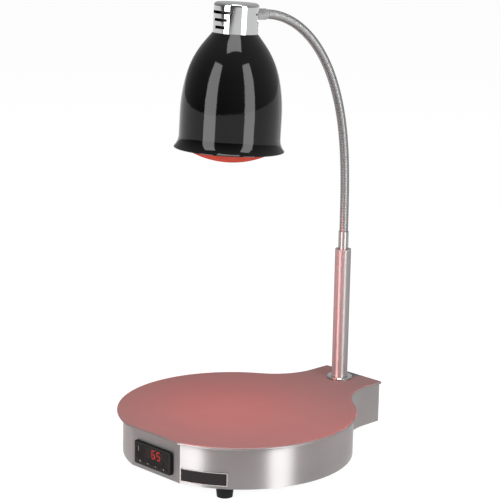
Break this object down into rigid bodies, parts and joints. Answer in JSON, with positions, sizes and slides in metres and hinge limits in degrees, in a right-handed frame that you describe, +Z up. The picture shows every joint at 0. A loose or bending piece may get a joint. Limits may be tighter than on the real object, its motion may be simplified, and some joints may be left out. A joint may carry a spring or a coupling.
{
  "type": "heated serving station with lamp",
  "caption": "Free-standing heated serving station: round stainless base with rear tail, post, bendable ribbed neck and a bell-shaded red infrared lamp over the warm plate.",
  "frame": {"origin": "middle of the footprint, on the surface the feet stand on", "axes": "+Z up, -Y towards the front with the controller, +Y towards the post's tail, +X to the right seen from the front"},
  "size_m": [0.36, 0.4476, 0.6902],
  "materials": {
    "brushed_stainless": "brushed stainless sheet",
    "chrome": "polished chrome",
    "satin_steel": "satin turned steel",
    "neck_steel": "satin ribbed steel",
    "black_enamel": "gloss black enamel",
    "red_glass": "red lamp glass",
    "brass": "bright brass",
    "porcelain": "black glazed porcelain",
    "tungsten": "wire",
    "black_rubber": "moulded rubber",
    "black_plastic": "black moulding",
    "key_plastic": "dark grey keys",
    "smoked_window": "smoked window",
    "red_led": "lit red segments",
    "board_green": "dark display module",
    "badge_black": "bare black plate",
    "zinc_steel": "zinc plated",
    "silicone_mat": "silicone heater mat",
    "ceramic_fibre": "ceramic fibre pad",
    "white_plastic": "heat proof moulding",
    "lead_sheath": "glass fibre sleeve over the lead"
  },
  "bodies": {
    "base": {"top_plate": "brushed_stainless", "skirt": "brushed_stainless", "bottom_plate": "zinc_steel", "foot_screws": "zinc_steel", "tie_pillars": "zinc_steel", "heater_mat": "silicone_mat", "insulation_pad": "ceramic_fibre", "heater_clamp_plate": "zinc_steel", "heater_nuts": "zinc_steel", "temperature_probe": "zinc_steel", "thermal_cutout": "white_plastic", "controller_case": "black_plastic", "controller_window": "smoked_window", "display_module": "board_green", "display_digits": "red_led", "controller_clips": "black_plastic", "badge_plate": "badge_black", "terminal_block": "white_plastic", "earth_stud": "zinc_steel", "gland_body": "black_plastic", "gland_dome_nut": "black_plastic", "gland_lock_nut": "black_plastic", "post_tube": "brushed_stainless", "post_flange": "chrome", "post_nipple": "brass", "post_nut": "zinc_steel", "post_backing_plate": "zinc_steel", "post_bush": "satin_steel", "post_grub_screw": "zinc_steel", "neck_sleeve": "chrome", "lamp_lead": "lead_sheath", "foot_front_left": "black_rubber", "foot_front_right": "black_rubber", "foot_rear_left": "black_rubber", "foot_rear_right": "black_rubber", "neck_01": "neck_steel", "neck_02": "neck_steel"},
    "neck_link_1": {"neck_03": "neck_steel", "neck_04": "neck_steel"},
    "neck_link_2": {"neck_05": "neck_steel", "neck_06": "neck_steel"},
    "neck_link_3": {"neck_07": "neck_steel", "neck_08": "neck_steel"},
    "neck_link_4": {"neck_09": "neck_steel", "neck_10": "neck_steel"},
    "head": {"neck_11": "neck_steel", "neck_ferrule": "satin_steel", "ferrule_nut": "zinc_steel", "lamp_cap": "chrome", "lampholder": "porcelain", "lampholder_contacts": "brass", "shade": "black_enamel", "shade_ring": "brass", "bulb_glass": "red_glass", "bulb_base": "brass", "bulb_filament": "tungsten"},
    "key_power": {"key_power": "key_plastic"},
    "key_down": {"key_down": "key_plastic"},
    "key_up": {"key_up": "key_plastic"},
    "key_set": {"key_set": "key_plastic"}
  },
  "joints": [
    {"name": "neck_pitch_1", "type": "hinge", "parent": "base", "child": "neck_link_1", "pos_m": [0, 0.17288, 0.39665], "axis": [1, 0, 0], "range_deg": [-12, 12], "deforming": ["lamp_lead"]},
    {"name": "neck_side_1", "type": "hinge", "parent": "neck_link_1", "child": "neck_link_2", "pos_m": [0, 0.1651, 0.47625], "axis": [0, 0.9849, 0.1733], "range_deg": [-12, 12], "deforming": ["lamp_lead"]},
    {"name": "neck_pitch_2", "type": "hinge", "parent": "neck_link_2", "child": "neck_link_3", "pos_m": [0, 0.14215, 0.55273], "axis": [1, 0, 0], "range_deg": [-12, 12], "deforming": ["lamp_lead"]},
    {"name": "neck_side_2", "type": "hinge", "parent": "neck_link_3", "child": "neck_link_4", "pos_m": [0, 0.09758, 0.61872], "axis": [0, 0.7116, 0.7026], "range_deg": [-12, 12], "deforming": ["lamp_lead"]},
    {"name": "neck_pitch_3", "type": "hinge", "parent": "neck_link_4", "child": "head", "pos_m": [0, 0.03063, 0.66128], "axis": [1, 0, 0], "range_deg": [-12, 12], "deforming": ["lamp_lead"]},
    {"name": "key_power_press", "type": "slide", "parent": "base", "child": "key_power", "axis": [0, 1, 0], "range_m": [0, 0.0005], "stiffness_N_per_m": 400, "springref_m": -0.001},
    {"name": "key_down_press", "type": "slide", "parent": "base", "child": "key_down", "axis": [0, 1, 0], "range_m": [0, 0.0005], "stiffness_N_per_m": 400, "springref_m": -0.001},
    {"name": "key_up_press", "type": "slide", "parent": "base", "child": "key_up", "axis": [0, 1, 0], "range_m": [0, 0.0005], "stiffness_N_per_m": 400, "springref_m": -0.001},
    {"name": "key_set_press", "type": "slide", "parent": "base", "child": "key_set", "axis": [0, 1, 0], "range_m": [0, 0.0005], "stiffness_N_per_m": 400, "springref_m": -0.001}
  ]
}
